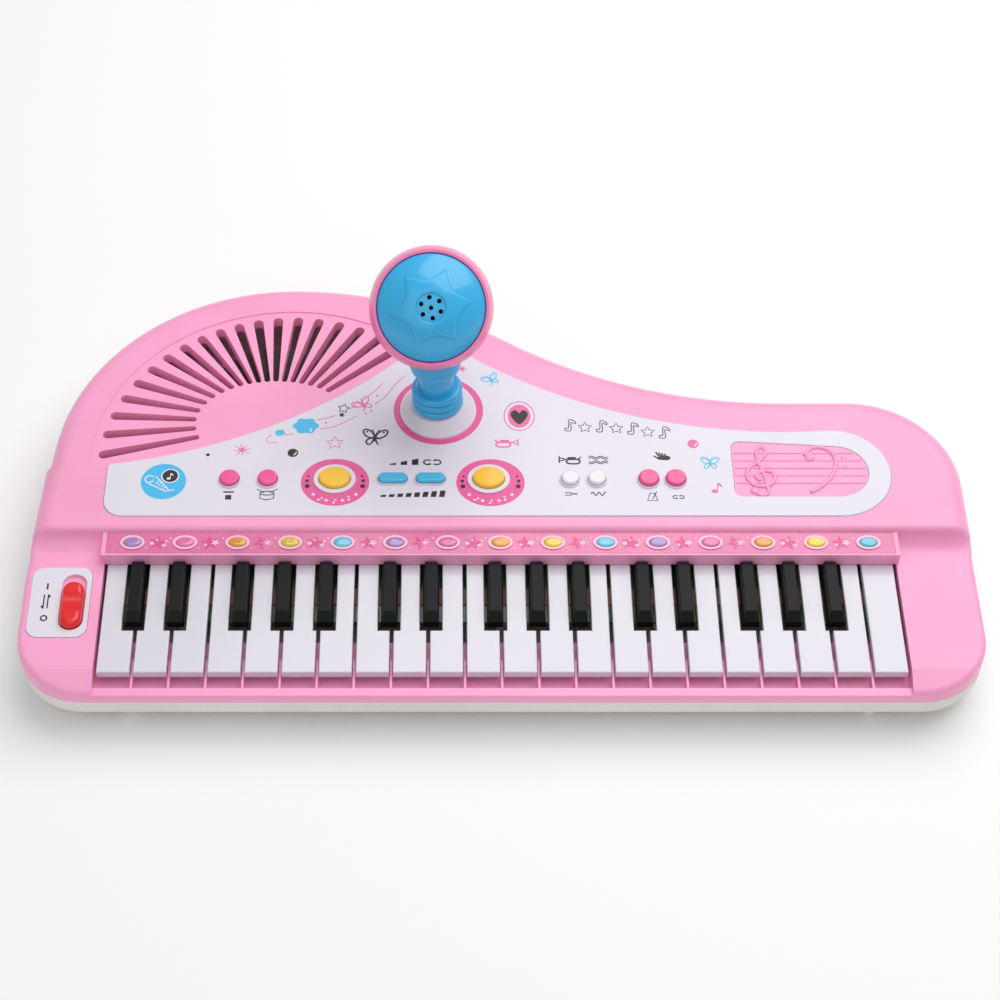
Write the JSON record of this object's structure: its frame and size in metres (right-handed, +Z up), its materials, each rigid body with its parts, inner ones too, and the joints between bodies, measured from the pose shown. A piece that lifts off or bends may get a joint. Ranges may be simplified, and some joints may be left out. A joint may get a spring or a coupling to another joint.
{
  "type": "toy electronic keyboard",
  "caption": "Child's tabletop electronic piano with short sprung keys, a panel of push buttons, a fan-shaped speaker grille and a turning toy microphone.",
  "frame": {"origin": "centre of the footprint, on the surface that the feet stand on", "axes": "+X towards the high keys, +Y away from the player, +Z up"},
  "size_m": [0.433, 0.237, 0.133],
  "materials": {
    "case_pink": "satin moulded plastic",
    "tray_white": "moulded plastic, cream white",
    "panel_white": "satin moulded plastic, printed",
    "key_white": "glossy moulded plastic",
    "key_black": "satin moulded plastic",
    "button_pink": "glossy moulded plastic",
    "button_yellow": "glossy moulded plastic",
    "button_blue": "glossy moulded plastic",
    "button_white": "glossy moulded plastic",
    "knob_red": "glossy moulded plastic",
    "mic_blue": "glossy moulded plastic",
    "mic_pink": "glossy moulded plastic",
    "strip_pink": "printed translucent plastic",
    "board_green": "lacquered circuit board",
    "contact_rubber": "matt silicone rubber",
    "speaker_black": "black paper cone and painted basket",
    "screw_steel": "zinc-plated steel"
  },
  "bodies": {
    "root": {"upper_case": "case_pink", "lower_case": "tray_white", "face_panels": "panel_white", "indicator_strip": "strip_pink", "circuit_boards": "board_green", "contact_strip": "contact_rubber", "speaker": "speaker_black", "screws": "screw_steel"},
    "microphone": {"mic_stem": "mic_blue", "mic_shell": "mic_pink", "mic_grille": "mic_blue"},
    "battery_cover": {"battery_cover": "tray_white"},
    "power_knob": {"power_knob": "knob_red"},
    "stop_button": {"stop_button": "button_pink"},
    "rhythm_button": {"rhythm_button": "button_pink"},
    "demo_one_button": {"demo_one_button": "button_yellow"},
    "volume_down_button": {"volume_down_button": "button_blue"},
    "volume_up_button": {"volume_up_button": "button_blue"},
    "demo_all_button": {"demo_all_button": "button_yellow"},
    "tone_button": {"tone_button": "button_white"},
    "effect_button": {"effect_button": "button_white"},
    "tempo_down_button": {"tempo_down_button": "button_pink"},
    "tempo_up_button": {"tempo_up_button": "button_pink"},
    "white_key_01": {"white_key_01": "key_white"},
    "white_key_02": {"white_key_02": "key_white"},
    "white_key_03": {"white_key_03": "key_white"},
    "white_key_04": {"white_key_04": "key_white"},
    "white_key_05": {"white_key_05": "key_white"},
    "white_key_06": {"white_key_06": "key_white"},
    "white_key_07": {"white_key_07": "key_white"},
    "white_key_08": {"white_key_08": "key_white"},
    "white_key_09": {"white_key_09": "key_white"},
    "white_key_10": {"white_key_10": "key_white"},
    "white_key_11": {"white_key_11": "key_white"},
    "white_key_12": {"white_key_12": "key_white"},
    "white_key_13": {"white_key_13": "key_white"},
    "white_key_14": {"white_key_14": "key_white"},
    "white_key_15": {"white_key_15": "key_white"},
    "white_key_16": {"white_key_16": "key_white"},
    "white_key_17": {"white_key_17": "key_white"},
    "white_key_18": {"white_key_18": "key_white"},
    "white_key_19": {"white_key_19": "key_white"},
    "white_key_20": {"white_key_20": "key_white"},
    "white_key_21": {"white_key_21": "key_white"},
    "white_key_22": {"white_key_22": "key_white"},
    "black_key_01": {"black_key_01": "key_black"},
    "black_key_02": {"black_key_02": "key_black"},
    "black_key_03": {"black_key_03": "key_black"},
    "black_key_04": {"black_key_04": "key_black"},
    "black_key_05": {"black_key_05": "key_black"},
    "black_key_06": {"black_key_06": "key_black"},
    "black_key_07": {"black_key_07": "key_black"},
    "black_key_08": {"black_key_08": "key_black"},
    "black_key_09": {"black_key_09": "key_black"},
    "black_key_10": {"black_key_10": "key_black"},
    "black_key_11": {"black_key_11": "key_black"},
    "black_key_12": {"black_key_12": "key_black"},
    "black_key_13": {"black_key_13": "key_black"},
    "black_key_14": {"black_key_14": "key_black"},
    "black_key_15": {"black_key_15": "key_black"}
  },
  "joints": [
    {"name": "power_knob_slide", "type": "slide", "parent": "root", "child": "power_knob", "axis": [0, 1, 0], "range_m": [0, 0.005]},
    {"name": "microphone_turn", "type": "hinge", "parent": "root", "child": "microphone", "pos_m": [-0.0287, 0.035, 0.045], "axis": [-0.045, 0.0563, 0.9974], "range_deg": [-60, 60]},
    {"name": "battery_cover_swing", "type": "hinge", "parent": "root", "child": "battery_cover", "pos_m": [0.062, -0.018, 0.0065], "axis": [-1, 0, 0], "range_deg": [0, 80]},
    {"name": "stop_button_press", "type": "slide", "parent": "root", "child": "stop_button", "axis": [0, 0, -1], "range_m": [0, 0.0012], "stiffness_N_per_m": 200, "springref_m": -0.001},
    {"name": "rhythm_button_press", "type": "slide", "parent": "root", "child": "rhythm_button", "axis": [0, 0, -1], "range_m": [0, 0.0012], "stiffness_N_per_m": 200, "springref_m": -0.001},
    {"name": "demo_one_button_press", "type": "slide", "parent": "root", "child": "demo_one_button", "axis": [0, 0, -1], "range_m": [0, 0.0012], "stiffness_N_per_m": 200, "springref_m": -0.001},
    {"name": "volume_down_button_press", "type": "slide", "parent": "root", "child": "volume_down_button", "axis": [0, 0, -1], "range_m": [0, 0.0012], "stiffness_N_per_m": 200, "springref_m": -0.001},
    {"name": "volume_up_button_press", "type": "slide", "parent": "root", "child": "volume_up_button", "axis": [0, 0, -1], "range_m": [0, 0.0012], "stiffness_N_per_m": 200, "springref_m": -0.001},
    {"name": "demo_all_button_press", "type": "slide", "parent": "root", "child": "demo_all_button", "axis": [0, 0, -1], "range_m": [0, 0.0012], "stiffness_N_per_m": 200, "springref_m": -0.001},
    {"name": "tone_button_press", "type": "slide", "parent": "root", "child": "tone_button", "axis": [0, 0, -1], "range_m": [0, 0.0012], "stiffness_N_per_m": 200, "springref_m": -0.001},
    {"name": "effect_button_press", "type": "slide", "parent": "root", "child": "effect_button", "axis": [0, 0, -1], "range_m": [0, 0.0012], "stiffness_N_per_m": 200, "springref_m": -0.001},
    {"name": "tempo_down_button_press", "type": "slide", "parent": "root", "child": "tempo_down_button", "axis": [0, 0, -1], "range_m": [0, 0.0012], "stiffness_N_per_m": 200, "springref_m": -0.001},
    {"name": "tempo_up_button_press", "type": "slide", "parent": "root", "child": "tempo_up_button", "axis": [0, 0, -1], "range_m": [0, 0.0012], "stiffness_N_per_m": 200, "springref_m": -0.001},
    {"name": "white_key_01_press", "type": "hinge", "parent": "root", "child": "white_key_01", "pos_m": [-0.1722, -0.0305, 0.0266], "axis": [1, 0, 0], "range_deg": [0, 2.6], "stiffness_Nm_per_rad": 0.3, "springref_deg": -3.44},
    {"name": "white_key_02_press", "type": "hinge", "parent": "root", "child": "white_key_02", "pos_m": [-0.1558, -0.0305, 0.0266], "axis": [1, 0, 0], "range_deg": [0, 2.6], "stiffness_Nm_per_rad": 0.3, "springref_deg": -3.44},
    {"name": "white_key_03_press", "type": "hinge", "parent": "root", "child": "white_key_03", "pos_m": [-0.1394, -0.0305, 0.0266], "axis": [1, 0, 0], "range_deg": [0, 2.6], "stiffness_Nm_per_rad": 0.3, "springref_deg": -3.44},
    {"name": "white_key_04_press", "type": "hinge", "parent": "root", "child": "white_key_04", "pos_m": [-0.123, -0.0305, 0.0266], "axis": [1, 0, 0], "range_deg": [0, 2.6], "stiffness_Nm_per_rad": 0.3, "springref_deg": -3.44},
    {"name": "white_key_05_press", "type": "hinge", "parent": "root", "child": "white_key_05", "pos_m": [-0.1066, -0.0305, 0.0266], "axis": [1, 0, 0], "range_deg": [0, 2.6], "stiffness_Nm_per_rad": 0.3, "springref_deg": -3.44},
    {"name": "white_key_06_press", "type": "hinge", "parent": "root", "child": "white_key_06", "pos_m": [-0.0902, -0.0305, 0.0266], "axis": [1, 0, 0], "range_deg": [0, 2.6], "stiffness_Nm_per_rad": 0.3, "springref_deg": -3.44},
    {"name": "white_key_07_press", "type": "hinge", "parent": "root", "child": "white_key_07", "pos_m": [-0.0738, -0.0305, 0.0266], "axis": [1, 0, 0], "range_deg": [0, 2.6], "stiffness_Nm_per_rad": 0.3, "springref_deg": -3.44},
    {"name": "white_key_08_press", "type": "hinge", "parent": "root", "child": "white_key_08", "pos_m": [-0.0574, -0.0305, 0.0266], "axis": [1, 0, 0], "range_deg": [0, 2.6], "stiffness_Nm_per_rad": 0.3, "springref_deg": -3.44},
    {"name": "white_key_09_press", "type": "hinge", "parent": "root", "child": "white_key_09", "pos_m": [-0.041, -0.0305, 0.0266], "axis": [1, 0, 0], "range_deg": [0, 2.6], "stiffness_Nm_per_rad": 0.3, "springref_deg": -3.44},
    {"name": "white_key_10_press", "type": "hinge", "parent": "root", "child": "white_key_10", "pos_m": [-0.0246, -0.0305, 0.0266], "axis": [1, 0, 0], "range_deg": [0, 2.6], "stiffness_Nm_per_rad": 0.3, "springref_deg": -3.44},
    {"name": "white_key_11_press", "type": "hinge", "parent": "root", "child": "white_key_11", "pos_m": [-0.0082, -0.0305, 0.0266], "axis": [1, 0, 0], "range_deg": [0, 2.6], "stiffness_Nm_per_rad": 0.3, "springref_deg": -3.44},
    {"name": "white_key_12_press", "type": "hinge", "parent": "root", "child": "white_key_12", "pos_m": [0.0082, -0.0305, 0.0266], "axis": [1, 0, 0], "range_deg": [0, 2.6], "stiffness_Nm_per_rad": 0.3, "springref_deg": -3.44},
    {"name": "white_key_13_press", "type": "hinge", "parent": "root", "child": "white_key_13", "pos_m": [0.0246, -0.0305, 0.0266], "axis": [1, 0, 0], "range_deg": [0, 2.6], "stiffness_Nm_per_rad": 0.3, "springref_deg": -3.44},
    {"name": "white_key_14_press", "type": "hinge", "parent": "root", "child": "white_key_14", "pos_m": [0.041, -0.0305, 0.0266], "axis": [1, 0, 0], "range_deg": [0, 2.6], "stiffness_Nm_per_rad": 0.3, "springref_deg": -3.44},
    {"name": "white_key_15_press", "type": "hinge", "parent": "root", "child": "white_key_15", "pos_m": [0.0574, -0.0305, 0.0266], "axis": [1, 0, 0], "range_deg": [0, 2.6], "stiffness_Nm_per_rad": 0.3, "springref_deg": -3.44},
    {"name": "white_key_16_press", "type": "hinge", "parent": "root", "child": "white_key_16", "pos_m": [0.0738, -0.0305, 0.0266], "axis": [1, 0, 0], "range_deg": [0, 2.6], "stiffness_Nm_per_rad": 0.3, "springref_deg": -3.44},
    {"name": "white_key_17_press", "type": "hinge", "parent": "root", "child": "white_key_17", "pos_m": [0.0902, -0.0305, 0.0266], "axis": [1, 0, 0], "range_deg": [0, 2.6], "stiffness_Nm_per_rad": 0.3, "springref_deg": -3.44},
    {"name": "white_key_18_press", "type": "hinge", "parent": "root", "child": "white_key_18", "pos_m": [0.1066, -0.0305, 0.0266], "axis": [1, 0, 0], "range_deg": [0, 2.6], "stiffness_Nm_per_rad": 0.3, "springref_deg": -3.44},
    {"name": "white_key_19_press", "type": "hinge", "parent": "root", "child": "white_key_19", "pos_m": [0.123, -0.0305, 0.0266], "axis": [1, 0, 0], "range_deg": [0, 2.6], "stiffness_Nm_per_rad": 0.3, "springref_deg": -3.44},
    {"name": "white_key_20_press", "type": "hinge", "parent": "root", "child": "white_key_20", "pos_m": [0.1394, -0.0305, 0.0266], "axis": [1, 0, 0], "range_deg": [0, 2.6], "stiffness_Nm_per_rad": 0.3, "springref_deg": -3.44},
    {"name": "white_key_21_press", "type": "hinge", "parent": "root", "child": "white_key_21", "pos_m": [0.1558, -0.0305, 0.0266], "axis": [1, 0, 0], "range_deg": [0, 2.6], "stiffness_Nm_per_rad": 0.3, "springref_deg": -3.44},
    {"name": "white_key_22_press", "type": "hinge", "parent": "root", "child": "white_key_22", "pos_m": [0.1722, -0.0305, 0.0266], "axis": [1, 0, 0], "range_deg": [0, 2.6], "stiffness_Nm_per_rad": 0.3, "springref_deg": -3.44},
    {"name": "black_key_01_press", "type": "hinge", "parent": "root", "child": "black_key_01", "pos_m": [-0.1652, -0.0305, 0.0266], "axis": [1, 0, 0], "range_deg": [0, 2.6], "stiffness_Nm_per_rad": 0.3, "springref_deg": -3.44},
    {"name": "black_key_02_press", "type": "hinge", "parent": "root", "child": "black_key_02", "pos_m": [-0.1464, -0.0305, 0.0266], "axis": [1, 0, 0], "range_deg": [0, 2.6], "stiffness_Nm_per_rad": 0.3, "springref_deg": -3.44},
    {"name": "black_key_03_press", "type": "hinge", "parent": "root", "child": "black_key_03", "pos_m": [-0.1174, -0.0305, 0.0266], "axis": [1, 0, 0], "range_deg": [0, 2.6], "stiffness_Nm_per_rad": 0.3, "springref_deg": -3.44},
    {"name": "black_key_04_press", "type": "hinge", "parent": "root", "child": "black_key_04", "pos_m": [-0.0984, -0.0305, 0.0266], "axis": [1, 0, 0], "range_deg": [0, 2.6], "stiffness_Nm_per_rad": 0.3, "springref_deg": -3.44},
    {"name": "black_key_05_press", "type": "hinge", "parent": "root", "child": "black_key_05", "pos_m": [-0.0794, -0.0305, 0.0266], "axis": [1, 0, 0], "range_deg": [0, 2.6], "stiffness_Nm_per_rad": 0.3, "springref_deg": -3.44},
    {"name": "black_key_06_press", "type": "hinge", "parent": "root", "child": "black_key_06", "pos_m": [-0.0504, -0.0305, 0.0266], "axis": [1, 0, 0], "range_deg": [0, 2.6], "stiffness_Nm_per_rad": 0.3, "springref_deg": -3.44},
    {"name": "black_key_07_press", "type": "hinge", "parent": "root", "child": "black_key_07", "pos_m": [-0.0316, -0.0305, 0.0266], "axis": [1, 0, 0], "range_deg": [0, 2.6], "stiffness_Nm_per_rad": 0.3, "springref_deg": -3.44},
    {"name": "black_key_08_press", "type": "hinge", "parent": "root", "child": "black_key_08", "pos_m": [-0.0026, -0.0305, 0.0266], "axis": [1, 0, 0], "range_deg": [0, 2.6], "stiffness_Nm_per_rad": 0.3, "springref_deg": -3.44},
    {"name": "black_key_09_press", "type": "hinge", "parent": "root", "child": "black_key_09", "pos_m": [0.0164, -0.0305, 0.0266], "axis": [1, 0, 0], "range_deg": [0, 2.6], "stiffness_Nm_per_rad": 0.3, "springref_deg": -3.44},
    {"name": "black_key_10_press", "type": "hinge", "parent": "root", "child": "black_key_10", "pos_m": [0.0354, -0.0305, 0.0266], "axis": [1, 0, 0], "range_deg": [0, 2.6], "stiffness_Nm_per_rad": 0.3, "springref_deg": -3.44},
    {"name": "black_key_11_press", "type": "hinge", "parent": "root", "child": "black_key_11", "pos_m": [0.0644, -0.0305, 0.0266], "axis": [1, 0, 0], "range_deg": [0, 2.6], "stiffness_Nm_per_rad": 0.3, "springref_deg": -3.44},
    {"name": "black_key_12_press", "type": "hinge", "parent": "root", "child": "black_key_12", "pos_m": [0.0832, -0.0305, 0.0266], "axis": [1, 0, 0], "range_deg": [0, 2.6], "stiffness_Nm_per_rad": 0.3, "springref_deg": -3.44},
    {"name": "black_key_13_press", "type": "hinge", "parent": "root", "child": "black_key_13", "pos_m": [0.1122, -0.0305, 0.0266], "axis": [1, 0, 0], "range_deg": [0, 2.6], "stiffness_Nm_per_rad": 0.3, "springref_deg": -3.44},
    {"name": "black_key_14_press", "type": "hinge", "parent": "root", "child": "black_key_14", "pos_m": [0.1312, -0.0305, 0.0266], "axis": [1, 0, 0], "range_deg": [0, 2.6], "stiffness_Nm_per_rad": 0.3, "springref_deg": -3.44},
    {"name": "black_key_15_press", "type": "hinge", "parent": "root", "child": "black_key_15", "pos_m": [0.1502, -0.0305, 0.0266], "axis": [1, 0, 0], "range_deg": [0, 2.6], "stiffness_Nm_per_rad": 0.3, "springref_deg": -3.44}
  ]
}
